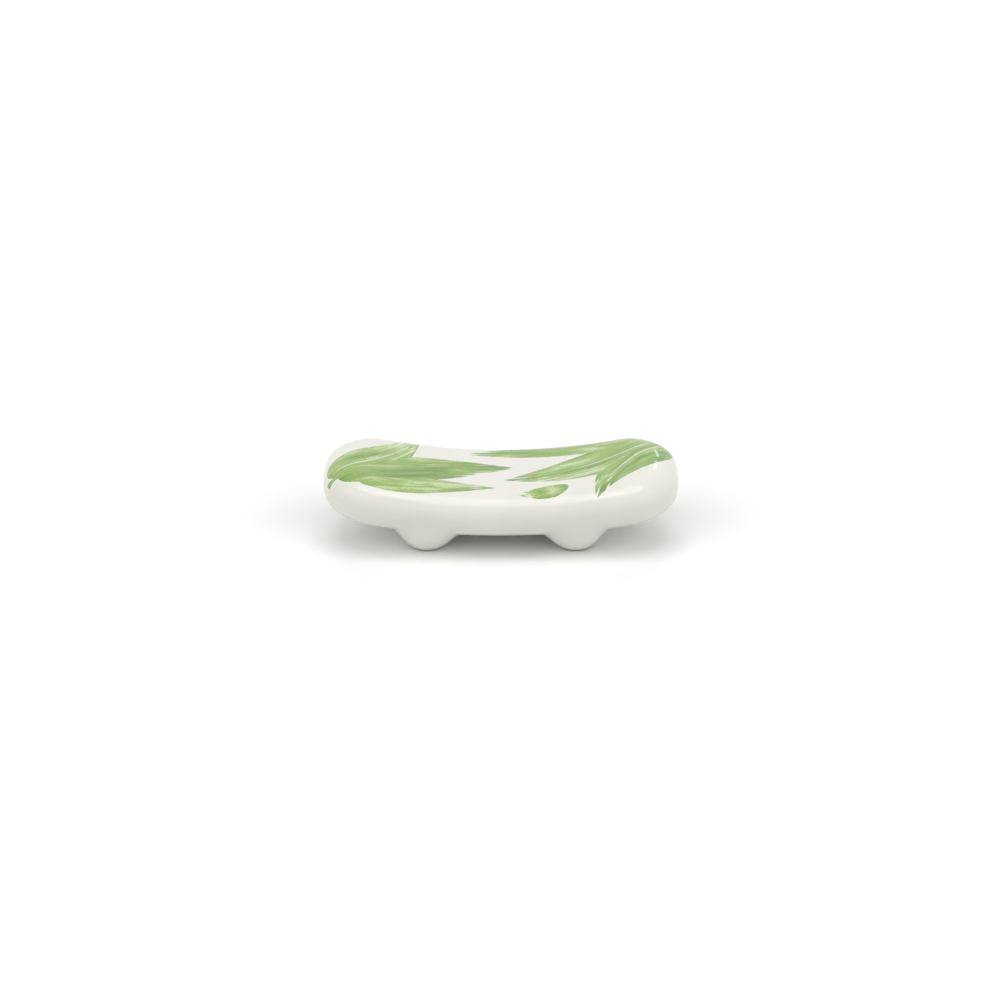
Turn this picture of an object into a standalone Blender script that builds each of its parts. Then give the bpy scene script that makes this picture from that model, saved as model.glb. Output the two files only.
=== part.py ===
"""A glazed ceramic chopstick rest: a pressed clay slab, bent up at both ends, on four luted feet.

The slab lies along X with its front towards -Y. The origin is on the table, midway between the
feet. The pieces are nested as they are made: the bare slab, the four turned feet, the slip that
lutes each foot to the slab, and one glaze coat over all of it, open under each foot.
Run it with: blender --background --python part.py
"""

import math

import bmesh
import bpy
from mathutils import Matrix, Vector

MM = 0.001

# The rest as it is seen, over the glaze
SLAB_LENGTH = 72.2 * MM  # along the slab before it is bent
SLAB_DEPTH = 29.6 * MM
SLAB_THICKNESS = 9.7 * MM
CORNER_RADIUS = 9.4 * MM  # seen from above
END_BOW = 2.9 * MM  # seen from above, the ends bow out from the corners by this much
RIM_DEPTH = 6.0 * MM  # how far the rounded rim reaches in from the edge
BEND_RADIUS = 128.0 * MM  # of the slab's middle layer
BENT_LENGTH = 46.6 * MM  # the bent middle, past which the ends run out straight
HOLLOW_DEPTH = 0.3 * MM  # the underside is hollowed by this much at the middle
HOLLOW_LENGTH = 49.0 * MM  # over this length

# The feet, over the glaze
FOOT_HEIGHT = 3.45 * MM  # from the table to the slab's underside at its middle, were it not hollowed
FOOT_FROM_END = 21.2 * MM  # from the slab's end to the foot's axis, before the bend
FOOT_FROM_SIDE = 8.3 * MM  # from the slab's front or back to the foot's axis
FOOT_PAD_RADIUS = 2.65 * MM  # the flat that stands on the table
FOOT_ROOT_ALONG = 9.2 * MM  # from the axis to where the flare meets the slab, along X
FOOT_ROOT_ACROSS = 8.0 * MM  # the same along Y
NUB_HEIGHT = 1.5 * MM  # from the table to the seam between the foot and its slip

# The layers
GLAZE_THICKNESS = 0.35 * MM
GLAZE_LINE = 0.4 * MM  # the glaze is wiped off each foot up to this height
SEAM = 0.3 * MM  # clearance between two layers
SLIP_EDGE = 0.35 * MM  # thickness of the slip at its outer edge

# Fineness of the facets
CORNER_STEPS = 8
RIM_STEPS = 6
CUT_PITCH = 3.2 * MM  # spacing of the cuts that let the slab bend and its ends bow
FOOT_SIDES = 24
FLARE_RINGS = 8
HEAD_RINGS = 2

# Worked out from the sizes above
CLAY_INSET = GLAZE_THICKNESS + SEAM
MIDDLE_HEIGHT = FOOT_HEIGHT + SLAB_THICKNESS / 2
END_ANGLE = BENT_LENGTH / 2 / BEND_RADIUS
FOOT_X = SLAB_LENGTH / 2 - FOOT_FROM_END
FOOT_Y = SLAB_DEPTH / 2 - FOOT_FROM_SIDE
EDGE_MARGIN = 0.3 * MM  # a corner or a flare stops this far short of the wall that limits it
PLAN_CORNER = min(CORNER_RADIUS, SLAB_DEPTH / 2 - EDGE_MARGIN)
FLARE_ALONG = min(FOOT_ROOT_ALONG, FOOT_FROM_END - EDGE_MARGIN)
FLARE_INWARD = FOOT_ROOT_ACROSS
FLARE_OUTWARD = min(FOOT_ROOT_ACROSS, FOOT_FROM_SIDE - EDGE_MARGIN)
FLARE_BURY = 0.08 * MM  # a flare's root ends this deep inside the slab
WALL_SHIFT = 1.2  # a sloping wall moves in by this much of a layer's thickness
HEAD_HOLE = 0.1  # the last ring of a foot's head, as a share of its first

FEET = {
    "front_left": Vector((-FOOT_X, -FOOT_Y)),
    "front_right": Vector((FOOT_X, -FOOT_Y)),
    "rear_left": Vector((-FOOT_X, FOOT_Y)),
    "rear_right": Vector((FOOT_X, FOOT_Y)),
}


def clear_scene():
    for old in list(bpy.data.objects):
        bpy.data.objects.remove(old)


def clay_material(name, colour, roughness):
    material = bpy.data.materials.new(name)
    material.use_nodes = True
    shader = material.node_tree.nodes["Principled BSDF"]
    shader.inputs["Base Color"].default_value = (*colour, 1.0)
    shader.inputs["Roughness"].default_value = roughness
    shader.inputs["Metallic"].default_value = 0.0
    return material


def add_object(name, mesh_builder, material=None):
    """A new object from a bmesh, smooth but for its sharp edges."""
    bmesh.ops.recalc_face_normals(mesh_builder, faces=mesh_builder.faces)
    mesh = bpy.data.meshes.new(name)
    mesh_builder.to_mesh(mesh)
    mesh_builder.free()
    mesh.shade_smooth()
    mesh.set_sharp_from_angle(angle=math.radians(40))
    if material:
        mesh.materials.append(material)
    made = bpy.data.objects.new(name, mesh)
    bpy.context.scene.collection.objects.link(made)
    return made


def make_helper(helper):
    """Keeps a cutter or a lump that is only joined to another piece out of the model."""
    helper.hide_render = True
    helper.display_type = "WIRE"
    return helper


def add_boolean(target, operation, other):
    modifier = target.modifiers.new(other.name, "BOOLEAN")
    modifier.operation = operation
    modifier.solver = "EXACT"
    modifier.object = other


def bent(x, y, z):
    """Where a point of the flat slab goes when its middle is bent. z is from the middle layer."""
    along = max(-BENT_LENGTH / 2, min(BENT_LENGTH / 2, x))
    angle = along / BEND_RADIUS
    beyond = x - along
    return (
        (BEND_RADIUS - z) * math.sin(angle) + beyond * math.cos(angle),
        y,
        MIDDLE_HEIGHT + BEND_RADIUS - (BEND_RADIUS - z) * math.cos(angle) + beyond * math.sin(angle),
    )


def lower_layer(x, below):
    """Height above the table, at x, of the bent layer that lies this far below the middle one."""
    radius = BEND_RADIUS + below
    on_arc = min(abs(x), radius * math.sin(END_ANGLE))
    arc = BEND_RADIUS - math.sqrt(radius**2 - on_arc**2)
    return MIDDLE_HEIGHT + arc + (abs(x) - on_arc) * math.tan(END_ANGLE)


def hollow(x):
    """How much the underside is hollowed at x on the flat slab: most at the middle, fading out."""
    share = min(1.0, abs(x) / (HOLLOW_LENGTH / 2))
    return HOLLOW_DEPTH * (1 + math.cos(math.pi * share)) / 2


def underside(x, y, inset):
    """Height of the slab's underside at x, y, on the layer that lies inset under the glaze."""
    rim_start = SLAB_DEPTH / 2 - RIM_DEPTH
    over_rim = (abs(y) - rim_start) / (RIM_DEPTH - inset)
    over_rim = max(0.0, min(1.0, over_rim))
    half = SLAB_THICKNESS / 2
    flat_x = BEND_RADIUS * math.asin(x / (BEND_RADIUS + half))
    return lower_layer(x, (half - hollow(flat_x) - inset) * math.sqrt(1 - over_rim**2))


def bowed(x, y):
    """The x of a point of the flat slab, drawn back the nearer it lies to the front or back."""
    return x * (1 - 2 * END_BOW / SLAB_LENGTH * (2 * y / SLAB_DEPTH) ** 2)


def even_cuts(straight):
    """Where the cuts over a straight run lie, from its middle: half its length is given."""
    count = 2 * math.ceil(straight / CUT_PITCH)
    return [straight * (2 * step / count - 1) for step in range(count + 1)]


def cross_cuts(half_length, corner):
    """The x of each cross cut: even over the straight sides, and at each step of the corners."""
    straight = half_length - corner
    cuts = even_cuts(straight)
    for step in range(1, CORNER_STEPS):
        reach = straight + corner * math.sin(step / CORNER_STEPS * math.pi / 2)
        cuts += [reach, -reach]
    return cuts


def cut_through(bm, place, across):
    whole = bm.verts[:] + bm.edges[:] + bm.faces[:]
    bmesh.ops.bisect_plane(bm, geom=whole, dist=1e-6, plane_co=place, plane_no=across)


def rounded_slab(inset):
    """The pillow-edged slab, this far under the glaze: a box, its corners and rims rounded, bent."""
    length, depth = SLAB_LENGTH - 2 * inset, SLAB_DEPTH - 2 * inset
    corner, rim = PLAN_CORNER - inset, RIM_DEPTH - inset
    half = SLAB_THICKNESS / 2 - inset
    bm = bmesh.new()
    bmesh.ops.create_cube(bm, size=1.0)
    bmesh.ops.scale(bm, vec=(length, depth, 2 * rim), verts=bm.verts)
    uprights = [e for e in bm.edges if abs(e.verts[0].co.z - e.verts[1].co.z) > rim]
    bmesh.ops.bevel(
        bm, geom=uprights, offset=corner, segments=CORNER_STEPS, profile=0.5, affect="EDGES", material=-1
    )
    for x in cross_cuts(length / 2, corner):
        cut_through(bm, (x, 0, 0), (1, 0, 0))
    rims = [e for e in bm.edges if len({round(abs(f.normal.z)) for f in e.link_faces}) == 2]
    bmesh.ops.bevel(
        bm, geom=rims, offset=rim, segments=RIM_STEPS, profile=0.5, affect="EDGES", material=-1
    )
    bmesh.ops.remove_doubles(bm, verts=bm.verts, dist=1e-6)
    bmesh.ops.dissolve_degenerate(bm, edges=bm.edges, dist=1e-6)
    for y in even_cuts(depth / 2 - corner)[1:-1]:
        cut_through(bm, (0, y, 0), (0, 1, 0))
    for vert in bm.verts:
        x, y, z = bowed(vert.co.x, vert.co.y), vert.co.y, vert.co.z
        reach = half if z > 0 else half - hollow(x)
        vert.co = bent(x, y, z / rim * reach)
    return bm


def foot_share(step):
    """The foot's S-shaped wall: 0 on the table, 1 at the underside, for a step from pad to root."""
    return step * step * (3 - 2 * step)


def foot_reach(step, inset):
    """How far the foot's wall stands from its axis, at a step from pad to root.

    Three lengths: along X, and along Y towards the slab's middle and towards its side.
    """
    pad = FOOT_PAD_RADIUS - WALL_SHIFT * inset
    roots = (FLARE_ALONG, FLARE_INWARD, FLARE_OUTWARD)
    return [pad + step * (root - FOOT_PAD_RADIUS) for root in roots]


def step_inward(reach, inset):
    """The step at which the foot's wall stands this far from its axis, towards the slab's middle."""
    return (reach + WALL_SHIFT * inset - FOOT_PAD_RADIUS) / (FLARE_INWARD - FOOT_PAD_RADIUS)


def step_at_share(share):
    """The step of the foot's wall at which it has risen by this share."""
    return 0.5 - math.sin(math.asin(1 - 2 * share) / 3)


def draped(share, lift, inset, lowest=0.0):
    """A height that is this share of the way up to the underside, plus a lift."""
    return lambda x, y: max(lowest, share * underside(x, y, inset) + lift)


def wall_rings(first, last, inset, lowest=0.0):
    """Rings of the foot's wall from one step to another, as reach and height."""
    steps = [first + (last - first) * ring / FLARE_RINGS for ring in range(FLARE_RINGS + 1)]
    return [(foot_reach(s, inset), draped(foot_share(s), 0.0, inset, lowest)) for s in steps]


def head_rings(reach, height):
    """Rings across the head of a foot, from inside its edge to near its middle."""
    shares = [1 - (1 - HEAD_HOLE) * ring / HEAD_RINGS for ring in range(1, HEAD_RINGS + 1)]
    return [([length * share for length in reach], height) for share in shares]


def move_ring(ring, centre, old_reach, reach, height):
    along, inward, outward = [new / old for new, old in zip(reach, old_reach)]
    for vert in ring:
        away = vert.co.xy - centre
        across = outward if away.y * centre.y > 0 else inward
        x, y = centre.x + away.x * along, centre.y + away.y * across
        vert.co = (x, y, height(x, y))


def turned(centre, rings):
    """A closed solid about a foot's axis: its oval rings in order, each end filled."""
    bm = bmesh.new()
    start = Matrix.Translation(centre.to_3d())
    made = bmesh.ops.create_circle(bm, cap_ends=True, radius=1.0, segments=FOOT_SIDES, matrix=start)
    edges = bm.edges[:]
    first_reach, height = rings[0]
    move_ring(made["verts"], centre, (1.0, 1.0, 1.0), first_reach, height)
    for (old_reach, _), (reach, height) in zip(rings, rings[1:]):
        grown = bmesh.ops.extrude_edge_only(bm, edges=edges)["geom"]
        edges = [item for item in grown if isinstance(item, bmesh.types.BMEdge)]
        ring = [item for item in grown if isinstance(item, bmesh.types.BMVert)]
        move_ring(ring, centre, old_reach, reach, height)
    bmesh.ops.edgeloop_fill(bm, edges=edges)
    return bm


def flared_lump(centre, inset, lowest):
    """A foot as a lump that joins the slab: a flared wall, its root buried, closed inside."""
    root = foot_reach(1.0, inset)
    rings = wall_rings(0.0, 1.0, inset, lowest)[:-1]
    rings.append((root, draped(1.0, FLARE_BURY, inset)))
    rings.append((root, lambda x, y: lower_layer(x, 0.0)))
    return turned(centre, rings)


def rise_to_slab():
    """Height of the bare slab's underside over a foot's axis."""
    return underside(FOOT_X, FOOT_Y, CLAY_INSET)


def foot_nub(centre):
    """A turned foot of bare clay: flat on the table, its head parallel to the slab above."""
    seam = NUB_HEIGHT / rise_to_slab()
    top = step_at_share(seam)
    head = draped(seam, 0.0, CLAY_INSET)
    rings = wall_rings(0.0, top, CLAY_INSET)
    rings += head_rings(foot_reach(top, CLAY_INSET), head)
    return turned(centre, rings)


def slip_joint(centre):
    """The slip that lutes a foot on: its seat over the foot, a flared edge, its top under the slab."""
    rise = rise_to_slab()
    seam = NUB_HEIGHT / rise
    bottom = step_at_share(seam + SEAM / rise)
    thin_edge = step_at_share(1 - (SEAM + SLIP_EDGE) / rise)
    next_foot = step_inward(FOOT_Y - SEAM / 2, CLAY_INSET)
    edge = min(thin_edge, next_foot)
    outer = foot_reach(edge, CLAY_INSET)
    seat = draped(seam, SEAM, CLAY_INSET)
    top = draped(1.0, -SEAM, CLAY_INSET)
    rings = head_rings(foot_reach(bottom, CLAY_INSET), seat)[::-1]
    rings += wall_rings(bottom, edge, CLAY_INSET)
    rings += [(outer, top)] + head_rings(outer, top)
    return turned(centre, rings)


def footed_slab(name, inset, lowest, material=None):
    """A slab this far under the glaze with its four feet joined on."""
    footed = add_object(name, rounded_slab(inset), material)
    for corner, centre in FEET.items():
        lump = add_object(f"{name}_foot_{corner}", flared_lump(centre, inset, lowest))
        add_boolean(footed, "UNION", make_helper(lump))
    return footed


def glaze_coat(material):
    """The coat of glaze: the outer form less the same form one glaze thickness further in."""
    coat = footed_slab("glaze_coat", 0.0, GLAZE_LINE, material)
    core = make_helper(footed_slab("glaze_core", GLAZE_THICKNESS, 0.0))
    add_boolean(coat, "DIFFERENCE", core)


def main():
    clear_scene()
    clay = clay_material("bare_clay", (0.76, 0.71, 0.61), 0.85)
    slip = clay_material("luting_slip", (0.70, 0.64, 0.53), 0.9)
    glaze = clay_material("white_glaze", (0.84, 0.83, 0.75), 0.12)
    add_object("slab", rounded_slab(CLAY_INSET), clay)
    for corner, centre in FEET.items():
        add_object(f"foot_{corner}", foot_nub(centre), clay)
        add_object(f"slip_joint_{corner}", slip_joint(centre), slip)
    glaze_coat(glaze)


main()
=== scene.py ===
"""The dressed chopstick rest: a glazed skin with brushed leaves and four dry feet, around its frame."""

import math

import bmesh
import bpy
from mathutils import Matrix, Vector, noise


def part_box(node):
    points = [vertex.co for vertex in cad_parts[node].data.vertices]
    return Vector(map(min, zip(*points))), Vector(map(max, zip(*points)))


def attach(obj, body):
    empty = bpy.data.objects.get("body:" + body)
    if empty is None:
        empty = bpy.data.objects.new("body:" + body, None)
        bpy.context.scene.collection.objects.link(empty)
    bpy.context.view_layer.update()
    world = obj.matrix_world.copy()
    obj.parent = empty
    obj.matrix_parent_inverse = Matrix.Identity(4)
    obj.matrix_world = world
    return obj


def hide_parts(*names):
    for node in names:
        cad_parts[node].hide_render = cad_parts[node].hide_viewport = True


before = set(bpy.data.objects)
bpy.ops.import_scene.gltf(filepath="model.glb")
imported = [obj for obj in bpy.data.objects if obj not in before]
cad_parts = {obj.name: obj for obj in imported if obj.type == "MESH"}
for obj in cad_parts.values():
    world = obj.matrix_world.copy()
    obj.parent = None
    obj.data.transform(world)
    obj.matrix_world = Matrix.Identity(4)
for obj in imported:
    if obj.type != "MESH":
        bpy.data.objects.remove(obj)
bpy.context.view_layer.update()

MM = 0.001

# The slab with its skin, after the glaze coat in the frame
COAT_LOW, COAT_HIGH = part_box("glaze_coat")
SLAB_LENGTH = 72.0 * MM  # along the slab before it is bent
SLAB_DEPTH = COAT_HIGH.y - COAT_LOW.y
SLAB_THICKNESS = 9.6 * MM
CORNER_RADIUS = 9.4 * MM  # seen from above
END_BOW = 2.9 * MM  # the ends bow out from the corners by this much
BEND_RADIUS = 128.0 * MM  # of the slab's middle layer
BENT_LENGTH = 46.6 * MM  # the bent middle, past which the ends run out straight
HOLLOW_DEPTH = 0.3 * MM  # the underside is hollowed by this much at the middle
HOLLOW_LENGTH = 49.0 * MM
UNDERSIDE_HEIGHT = 3.45 * MM  # from the table to the slab, before it is hollowed

# The soft rim of the skin, above and below the middle layer, at the sides and at the ends: how far its
# rounding reaches in, and how full it is (2 is an ellipse, and a fuller rim runs more softly into the flat)
UPPER_RIM = ((6.7 * MM, 2.3), (7.9 * MM, 2.08))
LOWER_RIM = ((6.6 * MM, 2.3), (5.15 * MM, 2.3))

# The feet
PAD_RADIUS = 2.65 * MM  # the flat on the table, were it glazed
FLARE_ALONG = 8.4 * MM  # from a foot's axis to where its flare ends, along X
FLARE_ACROSS = 9.6 * MM  # the same along Y
FLARE_MERGE = 3.0  # how softly two flares run together
FLARE_FADE = 0.5  # how far the rim must face down for the flare to draw on it in full
GLAZE_LINE = 0.38 * MM  # the glaze is wiped off each foot up to this height

# Hand-made unevenness of the skin
WAVE_DEPTH = 0.05 * MM
WAVE_LENGTH = 11.0 * MM

# Fineness of the skin
CUTS_ALONG = 219
CUTS_ACROSS = 91
CUTS_UP = 35
CUBE_SIZE = 1.0  # of the cube that is cut up and then scaled to the slab
MERGE_DISTANCE = 1e-7  # points closer than this are one

# Worked out from the sizes above
HALF_LENGTH = SLAB_LENGTH / 2
HALF_DEPTH = SLAB_DEPTH / 2
HALF_THICKNESS = SLAB_THICKNESS / 2
CORE = Vector((HALF_LENGTH - CORNER_RADIUS, HALF_DEPTH - CORNER_RADIUS))
MIDDLE_HEIGHT = UNDERSIDE_HEIGHT + HALF_THICKNESS

# Colours
GLAZE_WHITE = (0.812, 0.81, 0.748)
GLAZE_WARM = (0.792, 0.78, 0.708)
# Whiter glaze by the feet: partly glaze pooled thicker, partly painted light that the feet catch from the
# front and the floor
GLAZE_POOLED_AND_LIT = (0.875, 0.87, 0.812)
LEAF_PALE = (0.54, 0.65, 0.335)
LEAF_GREEN = (0.28, 0.445, 0.09)
LEAF_DEEP = (0.125, 0.28, 0.02)
CLAY = (0.76, 0.71, 0.61)
CLAY_DARK = (0.60, 0.54, 0.44)
SLIP = (0.70, 0.64, 0.53)
SLIP_DARK = (0.58, 0.52, 0.42)
FLOOR_WHITE = (1.0, 1.0, 1.0)
FLOOR_BOUNCE = (0.82, 0.82, 0.82)  # what the floor throws back on to the part

# The brushed leaves on the top, in mm on the plan: where each stroke starts and ends, its widest
# half-width, how far it bows to its left, how deep its green is, and how clear its midrib
STROKES = (
    ((-35.0, -6.5), (-17.0, 13.5), 5.0, -2.0, 0.35, 1.0),
    ((-33.0, -7.5), (3.0, 1.5), 5.8, 2.2, 0.6, 0.0),
    ((-29.0, -9.5), (-1.0, -8.2), 3.1, 0.7, 0.2, 0.0),
    ((34.5, 8.0), (19.5, -13.0), 5.3, -1.6, 0.55, 1.0),
    ((32.5, 8.5), (0.5, -4.5), 5.6, 2.4, 0.3, 1.0),
    ((29.0, 9.5), (-8.0, 7.6), 3.7, -0.8, 0.7, 0.0),
    ((14.0, -8.6), (3.0, -10.4), 1.9, 0.6, 0.5, 0.0),
    ((38.5, 10.5), (31.0, 7.5), 0.7, 0.3, 0.8, 0.0),
    ((-38.5, -9.5), (-31.0, -7.0), 0.7, 0.3, 0.8, 0.0),
)
BLADE_PEAK = 0.385  # the blade's curve where it is widest, before it is scaled to the half-width
ARC_PEAK = 0.25  # the same for the curve of its bow
FAR_OUTSIDE = -50.0  # mm inside a stroke, for a place that no stroke is near
OFF_THE_TOP = 20.0  # mm further outside where the skin faces down, so that no stroke shows there
TOP_STARTS = (0.0, 0.1)  # how far the skin faces up where the strokes begin

# Noise in a stroke: its fineness per stroke length and per mm across, its detail and its roughness
BRISTLES = (3.6, 1.7, 4.0, 0.6)
WASH = (2.4, 0.4, 2.0, 0.5)
TONE_SHIFT = 9.0  # sets the noise in strokes of different tones apart

# Other noise: its fineness, per mm on the plan for specks and per metre for the rest, its detail and its
# roughness
SPECKLE = (2.4, 3.0, 0.65)
CLOUD = (90.0, 3.0, 0.5)
GLOSS = (400.0, 2.0, 0.5)
RIPPLE = (260.0, 2.0, 0.5)
PATCH = (700.0, 4.0, 0.6)
GRIT = (5200.0, 3.0, 0.7)

# How the paint covers the glaze: its edge frays, and the brush runs dry along the stroke
EDGE_SPECKLE = 0.2  # mm
EDGE_BRISTLE = 0.4  # mm
EDGE_WIDTH = (0.0, 0.14)  # mm from bare to covered
DRY_LENGTH = (0.45, 1.0)  # the share of the stroke over which it runs dry
DRY_LEAST = -0.24  # bristles under this leave the glaze bare at the stroke's start
DRY_GROWTH = 0.2  # how much this rises by its end
DRY_WIDTH = (-0.02, 0.05)
COVER = 0.95

# The midrib, left bare: its frayed width in mm, where it begins and where it breaks up and ends
RIB_SPECKLE = 0.5
RIB_WIDTH = (0.1, 0.32)
RIB_STARTS = (0.04, 0.12)
RIB_BREAKS = 0.5
RIB_ENDS = (0.5, 0.75)
RIB_BARE = 0.7

# How deep the green is: the shares of tone, bristles, blots and specks, and more where paint gathers
DEPTH_TONE = 0.7
DEPTH_BRISTLE = 1.7
DEPTH_BLOT = 3.2
DEPTH_SPECKLE = 0.7
DEPTH_LEAST = 0.33
DEPTH_EDGE = 0.45
EDGE_GATHERS = (0.05, 0.5)  # mm inside the edge
PALE_TO_GREEN = (0.0, 0.5)
GREEN_TO_DEEP = (0.5, 1.4)

# The glaze
CLOUD_RANGE = (0.35, 0.75)
GLAZE_ROUGHNESS = 0.04
GLAZE_ROUGHNESS_SPREAD = 0.05
GLAZE_IOR = 1.5
RIPPLE_DEPTH = 0.035 * MM

# The bare clay
PATCH_RANGE = (0.3, 0.7)
GRIT_RANGE = (0.62, 0.75)
GRIT_DEPTH = 0.05 * MM
CLAY_DARKENING = 0.6
CLAY_ROUGHNESS = 0.78
CLAY_ROUGHNESS_SPREAD = 0.15


def clamp(value, low, high):
    """The value, kept between two others."""
    return max(low, min(high, value))


def smooth_step(share):
    """Eases a share in at 0 and out at 1."""
    return share * share * (3 - 2 * share)


def foot_centres():
    """The axis of each foot, from its CAD node."""
    centres = {}
    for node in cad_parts:
        if node.startswith("foot_"):
            low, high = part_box(node)
            centres[node] = ((low + high) / 2).to_2d()
    return centres


FEET = foot_centres()


def bent(x, y, z):
    """Where a point of the flat slab goes when its middle is bent. z is from the middle layer."""
    along = clamp(x, -BENT_LENGTH / 2, BENT_LENGTH / 2)
    angle = along / BEND_RADIUS
    beyond = x - along
    return Vector((
        (BEND_RADIUS - z) * math.sin(angle) + beyond * math.cos(angle),
        y,
        MIDDLE_HEIGHT + BEND_RADIUS - (BEND_RADIUS - z) * math.cos(angle) + beyond * math.sin(angle),
    ))


def hollow(x):
    """How much the underside is hollowed at x on the flat slab: most at the middle, fading out."""
    share = min(1.0, abs(x) / (HOLLOW_LENGTH / 2))
    return HOLLOW_DEPTH * (1 + math.cos(math.pi * share)) / 2


def rim_shape(out, z):
    """How far the rounding reaches in and how full it is, for a way out on the plan."""
    (side, side_fullness), (end, end_fullness) = UPPER_RIM if z > 0 else LOWER_RIM
    share = out.x**2
    return side + (end - side) * share, side_fullness + (end_fullness - side_fullness) * share


def bowed(place):
    """A place on the plan with the ends bowed: drawn in the nearer it is to the front or the back."""
    back = END_BOW / HALF_LENGTH * (place.y / HALF_DEPTH) ** 2
    return Vector((place.x * (1 - back), place.y))


def rounded(point):
    """A point of the flat box moved on to the rounded slab, its outward side, and its place on the plan.

    The plan is the top unrolled over the rim, so that a brush mark keeps its size there.
    """
    side = Vector((math.copysign(1, point.x), math.copysign(1, point.y)))
    inner = Vector((min(abs(point.x), CORE.x), min(abs(point.y), CORE.y)))
    past = Vector((abs(point.x), abs(point.y))) - inner
    out = past.normalized()
    reach = max(past)
    rim, fullness = rim_shape(out, point.z)
    over = max(0.0, 1 - (CORNER_RADIUS - reach) / rim)
    level = abs(point.z) / HALF_THICKNESS
    size = (over**fullness + level**fullness) ** (1 / fullness)
    over, level = over / size, math.copysign(level / size, point.z)
    unrolled = reach
    if over > 0:
        reach = CORNER_RADIUS - rim * (1 - over)
        unrolled = CORNER_RADIUS - rim + (rim + HALF_THICKNESS) / 2 * math.atan2(over, level)
    place = bowed((inner + out * reach) * side)
    plan = bowed((inner + out * unrolled) * side)
    depth = HALF_THICKNESS - (hollow(place.x) if level < 0 else 0.0)
    outward = Vector((*(out * side * over), level)).normalized()
    return Vector((*place, level * depth)), outward, plan


def flare_drop(x, y):
    """How far the underside is drawn down to the table by the feet, from 0 to 1."""
    total = 0.0
    for centre in FEET.values():
        away = Vector((x, y)) - centre
        distance = away.length
        if distance == 0:
            return 1.0
        root = distance / math.hypot(away.x / FLARE_ALONG, away.y / FLARE_ACROSS)
        step = clamp((distance - PAD_RADIUS) / (root - PAD_RADIUS), 0.0, 1.0)
        total += (1 - smooth_step(step)) ** FLARE_MERGE
    return min(1.0, total ** (1 / FLARE_MERGE))


def wavy(place, outward):
    """Moves a point a little inwards, as a hand-pressed slab is never quite even."""
    wave = noise.noise(place / WAVE_LENGTH)
    return place - outward * WAVE_DEPTH * (1 + wave) / 2


def runs_along(edge, axis):
    """Whether an edge of the cube that is not cut yet runs along an axis."""
    start, end = edge.verts
    return abs(start.co[axis] - end.co[axis]) > CUBE_SIZE / 2


def skin_blank():
    """A box of the flat slab's size with even cuts along each of its sides."""
    bm = bmesh.new()
    bmesh.ops.create_cube(bm, size=CUBE_SIZE)
    for axis, cuts in enumerate((CUTS_ALONG, CUTS_ACROSS, CUTS_UP)):
        edges = [edge for edge in bm.edges if runs_along(edge, axis)]
        bmesh.ops.subdivide_edges(bm, edges=edges, cuts=cuts, use_grid_fill=True)
    bmesh.ops.scale(bm, vec=(SLAB_LENGTH, SLAB_DEPTH, SLAB_THICKNESS), verts=bm.verts)
    return bm


def shape_skin(bm):
    """Rounds, bends and foots the blank, and notes for each point its plan place and its pool of glaze,
    which also sets painted light on the feet.
    """
    plan_layer = bm.verts.layers.float_vector.new("plan")
    pool_and_light_layer = bm.verts.layers.float.new("pool_and_light")
    for vert in bm.verts:
        place, outward, plan = rounded(vert.co)
        vert[plan_layer] = (plan.x / MM, plan.y / MM, outward.z)
        place = bent(*wavy(place, outward))
        if outward.z < 0:
            drop = flare_drop(place.x, place.y) * smooth_step(min(1.0, -outward.z / FLARE_FADE))
            place.z *= 1 - drop
            # Whiter towards each foot's bottom: pooled glaze, and painted light on the feet
            vert[pool_and_light_layer] = drop * (2 - drop)
        vert.co = place


def nearest_foot(place):
    """The axis of the foot that a place is nearest to."""
    return min(FEET.values(), key=lambda centre: (place.to_2d() - centre).length)


# The rounded edge in which the glaze ends under a foot: how far in, and how high above the table
LIP = (
    (0.10 * MM, 0.31 * MM),
    (0.24 * MM, 0.28 * MM),
    (0.38 * MM, 0.31 * MM),
    (0.46 * MM, 0.40 * MM),
    (0.50 * MM, 0.68 * MM),
)


def end_glaze(bm):
    """Cuts the glaze off level under the feet, turns its edge in round, and closes each foot inside."""
    whole = bm.verts[:] + bm.edges[:] + bm.faces[:]
    level = (0, 0, GLAZE_LINE)
    cut = bmesh.ops.bisect_plane(
        bm, geom=whole, dist=MERGE_DISTANCE, plane_co=level, plane_no=(0, 0, -1), clear_outer=True
    )["geom_cut"]
    edges = [item for item in cut if isinstance(item, bmesh.types.BMEdge)]
    done = 0.0
    for inward, height in LIP:
        grown = bmesh.ops.extrude_edge_only(bm, edges=edges)["geom"]
        edges = [item for item in grown if isinstance(item, bmesh.types.BMEdge)]
        for vert in grown:
            if isinstance(vert, bmesh.types.BMVert):
                centre = nearest_foot(vert.co)
                away = vert.co.to_2d() - centre
                away *= 1 - (inward - done) / away.length
                vert.co = (*(centre + away), height)
        done = inward
    bmesh.ops.holes_fill(bm, edges=edges, sides=0)


def add_piece(name, bm, material, slot, *nodes):
    """A finished piece, riding on the part's one body in place of its CAD nodes."""
    bmesh.ops.recalc_face_normals(bm, faces=bm.faces)
    mesh = bpy.data.meshes.new(name)
    bm.to_mesh(mesh)
    bm.free()
    mesh.shade_smooth()
    mesh.materials.append(material)
    piece = bpy.data.objects.new(name, mesh)
    bpy.context.scene.collection.objects.link(piece)
    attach(piece, "root")
    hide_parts(*nodes)


def glazed_skin(material):
    """All that is glazed, as one closed piece."""
    bm = skin_blank()
    shape_skin(bm)
    end_glaze(bm)
    add_piece("glazed_skin", bm, material, "white_glaze", "glaze_coat")


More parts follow.
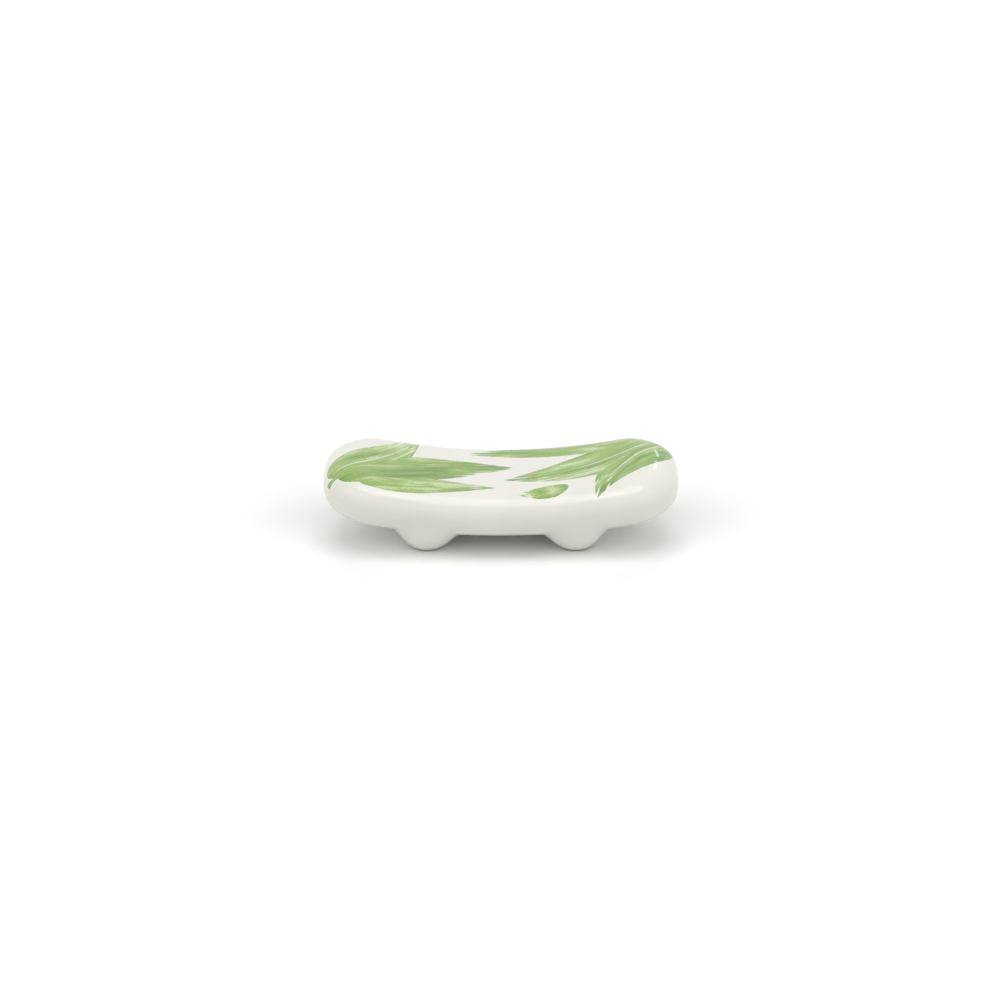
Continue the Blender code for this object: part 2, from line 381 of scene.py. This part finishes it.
# The ground foot inside the glaze's edge, turned: radius and height
DRY_FOOT = (
    (0.0, 0.0),
    (0.7 * MM, 0.0),
    (1.4 * MM, 0.0),
    (1.8 * MM, 0.0),
    (2.0 * MM, 0.02 * MM),
    (2.2 * MM, 0.09 * MM),
    (2.35 * MM, 0.2 * MM),
    (2.5 * MM, 0.38 * MM),
    (2.6 * MM, 0.55 * MM),
    (2.65 * MM, 0.75 * MM),
    (0.0, 0.75 * MM),
)
DRY_FOOT_STEPS = 72
GRIND_DEPTH = 0.03 * MM
GRIND_LENGTH = 0.9 * MM
GRIND_LOW = 0.01 * MM  # the height from which the grinding shows, and where it ends
GRIND_HIGH = 0.4 * MM


def dry_foot(node, material):
    """The bare, ground bottom of one foot."""
    bm = bmesh.new()
    profile = [bm.verts.new((radius, 0, height)) for radius, height in DRY_FOOT]
    edges = [bm.edges.new(pair) for pair in zip(profile, profile[1:])]
    bmesh.ops.spin(
        bm, geom=profile + edges, axis=(0, 0, 1), cent=(0, 0, 0), angle=math.tau,
        steps=DRY_FOOT_STEPS, use_merge=True,
    )
    bmesh.ops.remove_doubles(bm, verts=bm.verts, dist=MERGE_DISTANCE)
    centre = FEET[node]
    bmesh.ops.translate(bm, verts=bm.verts, vec=(*centre, 0))
    for vert in bm.verts:
        if GRIND_LOW < vert.co.z < GRIND_HIGH:
            vert.co.z += GRIND_DEPTH * abs(noise.noise(vert.co / GRIND_LENGTH))
    add_piece(f"dry_{node}", bm, material, "bare_clay", node)


class Wire:
    """A number on its way through a shader. Sums with it add Math nodes."""

    def __init__(self, tree, socket):
        self.tree = tree
        self.socket = socket

    def math(self, operation, *others):
        """A Math node on this number and the others."""
        node = self.tree.nodes.new("ShaderNodeMath")
        node.operation = operation
        for place, value in enumerate((self, *others)):
            feed(self.tree, node.inputs[place], value)
        return Wire(self.tree, node.outputs[0])

    def __add__(self, other):
        return self.math("ADD", other)

    def __sub__(self, other):
        return self.math("SUBTRACT", other)

    def __mul__(self, other):
        return self.math("MULTIPLY", other)

    def __truediv__(self, other):
        return self.math("DIVIDE", other)

    def __pow__(self, other):
        return self.math("POWER", other)

    def __abs__(self):
        return self.math("ABSOLUTE")

    def least(self, other):
        """The smaller of the two."""
        return self.math("MINIMUM", other)

    def most(self, other):
        """The larger of the two."""
        return self.math("MAXIMUM", other)

    def towards(self, other, share):
        """Part of the way from this number to the other."""
        return self * share.flipped() + share * other

    def flipped(self):
        """One less the number."""
        return (self * -1) + 1

    def between(self, low, high):
        """Rises smoothly from 0 at low to 1 at high."""
        node = self.tree.nodes.new("ShaderNodeMapRange")
        node.interpolation_type = "SMOOTHSTEP"
        feed(self.tree, node.inputs["Value"], self)
        feed(self.tree, node.inputs["From Min"], low)
        feed(self.tree, node.inputs["From Max"], high)
        return Wire(self.tree, node.outputs[0])


def feed(tree, socket, value):
    """Gives a socket a wire, another socket, or a value of its own."""
    if isinstance(value, Wire):
        value = value.socket
    if isinstance(value, bpy.types.NodeSocket):
        tree.links.new(value, socket)
    else:
        socket.default_value = value


def spread(tree, share, low, high):
    """A colour between two, each a colour or a socket."""
    node = tree.nodes.new("ShaderNodeMix")
    node.data_type = "RGBA"
    feed(tree, node.inputs[0], share)
    for socket, colour in ((node.inputs[6], low), (node.inputs[7], high)):
        feed(tree, socket, (*colour, 1.0) if isinstance(colour, tuple) else colour)
    return node.outputs[2]


def joined(tree, x, y, z):
    """A place made of three numbers."""
    node = tree.nodes.new("ShaderNodeCombineXYZ")
    for socket, value in zip(node.inputs, (x, y, z)):
        feed(tree, socket, value)
    return node.outputs[0]


def grain(tree, place, fineness, detail, roughness):
    """Noise over a place, from 0 to 1."""
    node = tree.nodes.new("ShaderNodeTexNoise")
    feed(tree, node.inputs["Vector"], place)
    node.inputs["Scale"].default_value = fineness
    node.inputs["Detail"].default_value = detail
    node.inputs["Roughness"].default_value = roughness
    return Wire(tree, node.outputs["Fac"])


def brush_stroke(tree, x, y, stroke):
    """One stroke on the plan: how far inside its outline a point lies, and where along and across."""
    (start_x, start_y), (end_x, end_y), half_width, bow, _, _ = stroke
    length = math.hypot(end_x - start_x, end_y - start_y)
    cos, sin = (end_x - start_x) / length, (end_y - start_y) / length
    from_x, from_y = x - start_x, y - start_y
    run = (from_x * cos) + (from_y * sin)
    along = (run / length).most(0.0).least(1.0)
    aside = (from_y * cos) - (from_x * sin)
    aside = aside - (along * along.flipped() * (bow / ARC_PEAK))
    blade = (along**0.5) * along.flipped() * (half_width / BLADE_PEAK)
    overrun = abs(run - (along * length))
    edge = blade - abs(aside) - overrun
    return edge, along, aside


def brushwork(tree, plan):
    """The strokes together: how far inside the nearest, where along and across it, its tone and midrib."""
    parts = tree.nodes.new("ShaderNodeSeparateXYZ")
    feed(tree, parts.inputs[0], plan)
    x, y, upward = (Wire(tree, output) for output in parts.outputs)
    nothing = upward * 0.0
    edge = nothing + FAR_OUTSIDE
    found = [nothing] * 4
    for stroke in STROKES:
        *_, tone, rib = stroke
        new_edge, *new = brush_stroke(tree, x, y, stroke)
        nearer = new_edge.math("GREATER_THAN", edge)
        found = [old.towards(other, nearer) for old, other in zip(found, (*new, tone, rib))]
        edge = edge.most(new_edge)
    on_top = upward.between(*TOP_STARTS)
    return edge - on_top.flipped() * OFF_THE_TOP, *found


def new_material(name):
    """A material, its tree and its shader."""
    material = bpy.data.materials.new(name)
    material.use_nodes = True
    tree = material.node_tree
    return material, tree, tree.nodes["Principled BSDF"]


def attribute(tree, name, output):
    """A value that the mesh holds at each point."""
    node = tree.nodes.new("ShaderNodeAttribute")
    node.attribute_name = name
    return node.outputs[output]


def object_place(tree):
    """The place on the part, in metres."""
    return tree.nodes.new("ShaderNodeTexCoord").outputs["Object"]


def add_bump(tree, shader, height, depth):
    """A fine relief on the shader."""
    bump = tree.nodes.new("ShaderNodeBump")
    bump.inputs["Strength"].default_value = 1.0
    bump.inputs["Distance"].default_value = depth
    feed(tree, bump.inputs["Height"], height)
    feed(tree, shader.inputs["Normal"], bump.outputs[0])


def stroke_grain(tree, stroke_place, fine_along, fine_across, detail, roughness):
    """Noise drawn out along a stroke, from -0.5 to 0.5."""
    along, aside, tone = stroke_place
    place = joined(tree, along * fine_along, aside * fine_across, tone * TONE_SHIFT)
    return grain(tree, place, 1.0, detail, roughness) - 0.5


def bare_midrib(along, aside, rib, speckle, blot):
    """1 along the middle of a leaf with a midrib, up to where it breaks up, and 0 elsewhere."""
    line = (abs(aside) + speckle * RIB_SPECKLE).between(*RIB_WIDTH).flipped() * rib
    return line * along.between(*RIB_STARTS) * (along + blot * RIB_BREAKS).between(*RIB_ENDS).flipped()


def leaf_paint(tree, plan, ground):
    """Green brush strokes over the ground colour."""
    edge, along, aside, tone, rib = brushwork(tree, plan)
    stroke_place = (along, aside, tone)
    bristle = stroke_grain(tree, stroke_place, *BRISTLES)
    blot = stroke_grain(tree, stroke_place, *WASH)
    speckle = grain(tree, plan, *SPECKLE) - 0.5
    edge = edge + speckle * EDGE_SPECKLE + bristle * EDGE_BRISTLE
    dry = along.between(*DRY_LENGTH) * DRY_GROWTH + DRY_LEAST
    cover = edge.between(*EDGE_WIDTH) * (bristle - dry).between(*DRY_WIDTH)
    midrib = bare_midrib(along, aside, rib, speckle, blot)
    cover = cover * (midrib * RIB_BARE).flipped() * COVER
    depth = tone * DEPTH_TONE + bristle * DEPTH_BRISTLE + blot * DEPTH_BLOT
    depth = depth + speckle * DEPTH_SPECKLE + DEPTH_LEAST
    depth = depth + edge.between(*EDGE_GATHERS).flipped() * DEPTH_EDGE
    green = spread(tree, depth.between(*PALE_TO_GREEN), LEAF_PALE, LEAF_GREEN)
    green = spread(tree, depth.between(*GREEN_TO_DEEP), green, LEAF_DEEP)
    return spread(tree, cover, ground, green)


def glaze_material():
    """White gloss glaze over the brushed leaves: uneven by a shade, and whiter by the feet, where it pools
    thicker and where painted light brightens the feet.
    """
    material, tree, shader = new_material("white_glaze_brushed")
    place = object_place(tree)
    plan = attribute(tree, "plan", "Vector")
    pool_and_light = Wire(tree, attribute(tree, "pool_and_light", "Fac"))
    cloud = grain(tree, place, *CLOUD)
    white = spread(tree, cloud.between(*CLOUD_RANGE), GLAZE_WHITE, GLAZE_WARM)
    # Whiter by the feet: pooled glaze and painted light
    white = spread(tree, pool_and_light, white, GLAZE_POOLED_AND_LIT)
    colour = leaf_paint(tree, plan, white)
    feed(tree, shader.inputs["Base Color"], colour)
    gloss = grain(tree, place, *GLOSS)
    feed(tree, shader.inputs["Roughness"], gloss * GLAZE_ROUGHNESS_SPREAD + GLAZE_ROUGHNESS)
    shader.inputs["IOR"].default_value = GLAZE_IOR
    ripple = grain(tree, place, *RIPPLE)
    add_bump(tree, shader, ripple, RIPPLE_DEPTH)
    return material


def clay_material(name, pale, dark):
    """Bare fired clay, finely grained."""
    material, tree, shader = new_material(name)
    place = object_place(tree)
    patch = grain(tree, place, *PATCH)
    grit = grain(tree, place, *GRIT)
    colour = spread(tree, patch.between(*PATCH_RANGE) * CLAY_DARKENING, pale, dark)
    colour = spread(tree, grit.between(*GRIT_RANGE) * CLAY_DARKENING, colour, dark)
    feed(tree, shader.inputs["Base Color"], colour)
    feed(tree, shader.inputs["Roughness"], patch * CLAY_ROUGHNESS_SPREAD + CLAY_ROUGHNESS)
    add_bump(tree, shader, grit, GRIT_DEPTH)
    return material


def dress_node(node, material):
    """Gives a CAD node that stays a finish of its own."""
    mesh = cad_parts[node].data
    mesh.materials.clear()
    mesh.materials.append(material)


def seen_directly(tree):
    """1 for what the camera sees, straight or in a reflection, and 0 for light on its way."""
    path = tree.nodes.new("ShaderNodeLightPath").outputs
    return Wire(tree, path["Is Camera Ray"]).most(path["Is Glossy Ray"])


FLOOR_REACH = 3.0  # from the floor's middle to its sides


def table_floor():
    """A plain white floor that keeps the shadow."""
    bm = bmesh.new()
    bmesh.ops.create_grid(bm, x_segments=1, y_segments=1, size=FLOOR_REACH)
    mesh = bpy.data.meshes.new("floor")
    bm.to_mesh(mesh)
    bm.free()
    material, tree, shader = new_material("floor_white")
    colour = spread(tree, seen_directly(tree), FLOOR_BOUNCE, FLOOR_WHITE)
    feed(tree, shader.inputs["Base Color"], colour)
    shader.inputs["Roughness"].default_value = 1.0
    shader.inputs["Specular IOR Level"].default_value = 0.0
    mesh.materials.append(material)
    floor = bpy.data.objects.new("floor", mesh)
    bpy.context.scene.collection.objects.link(floor)


# Studio light: each lamp's strength, its bearing from the front, its height and its breadth in degrees,
# and whether the gloss mirrors it
LAMPS = {
    "overhead": (0.72, 0.0, 88.0, 42.0, True),
    "behind": (0.7, 180.0, 42.0, 40.0, False),
    "softbox_left": (0.1, -75.0, 73.0, 16.0, True),
    "softbox_right": (0.1, 75.0, 73.0, 16.0, True),
    "fill": (0.2, 0.0, 20.0, 56.0, False),
    "left": (1.2, -72.0, 34.0, 70.0, False),
    "right": (1.2, 72.0, 34.0, 70.0, False),
    "card_left": (0.24, -58.0, 40.0, 36.0, True),
    "card_right": (0.24, 58.0, 40.0, 36.0, True),
    "window_high": (0.007, 169.0, 25.5, 3.6, True),
    "window_low": (0.007, 169.0, 19.5, 3.6, True),
}
AMBIENT = 0.05  # the strength of the light from all round


def studio_lamps():
    """Broad lights from above, behind and the sides, smaller ones for highlights, and two far windows."""
    for name, (strength, bearing, height, breadth, mirrored) in LAMPS.items():
        data = bpy.data.lights.new(name, "SUN")
        data.energy = strength
        data.angle = math.radians(breadth)
        lamp = bpy.data.objects.new(name, data)
        lamp.rotation_euler = (math.radians(90.0 - height), 0, math.radians(bearing))
        lamp.visible_glossy = mirrored
        bpy.context.scene.collection.objects.link(lamp)


def studio_world():
    """Even light from all round; the camera and reflections see plain white."""
    world = bpy.data.worlds.new("studio")
    bpy.context.scene.world = world
    world.use_nodes = True
    tree = world.node_tree
    background = tree.nodes["Background"]
    background.inputs["Color"].default_value = (1.0, 1.0, 1.0, 1.0)
    feed(tree, background.inputs["Strength"], seen_directly(tree) * (1 - AMBIENT) + AMBIENT)


# The camera: its height in degrees, its distance, its lens and sensor in mm, what it sees from and to, and
# its aim, which is a height above the table and then a shift in the picture
CAMERA_ELEVATION = 25.0
CAMERA_DISTANCE = 0.72
CAMERA_LENS = 128.41
SENSOR_WIDTH = 36.0
CLIP_START = 0.01
CLIP_END = 20.0
AIM_HEIGHT = 8.1 * MM
AIM_SIDE = -0.2 * MM
AIM_UP = -1.3625 * MM


def set_camera():
    """A long lens from the front, a little above the table."""
    tilt = math.radians(CAMERA_ELEVATION)
    up = Vector((0, math.sin(tilt), math.cos(tilt)))
    back = Vector((0, -math.cos(tilt), math.sin(tilt)))
    aim = Vector((AIM_SIDE, 0, AIM_HEIGHT)) + up * AIM_UP
    data = bpy.data.cameras.new("camera")
    data.lens = CAMERA_LENS
    data.sensor_width = SENSOR_WIDTH
    data.clip_start = CLIP_START
    data.clip_end = CLIP_END
    camera = bpy.data.objects.new("camera", data)
    camera.location = aim + back * CAMERA_DISTANCE
    camera.rotation_euler = (math.pi / 2 - tilt, 0, 0)
    bpy.context.scene.collection.objects.link(camera)
    bpy.context.scene.camera = camera


def main():
    """Builds the dressed part, its stage and its light."""
    bpy.context.scene.view_settings.view_transform = "Standard"
    set_camera()
    clay = clay_material("bare_clay_ground", CLAY, CLAY_DARK)
    slip = clay_material("luting_slip_dry", SLIP, SLIP_DARK)
    glazed_skin(glaze_material())
    for node in FEET:
        dry_foot(node, clay)
    dress_node("slab", clay)
    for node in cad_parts:
        if node.startswith("slip_joint_"):
            dress_node(node, slip)
    table_floor()
    studio_lamps()
    studio_world()


main()
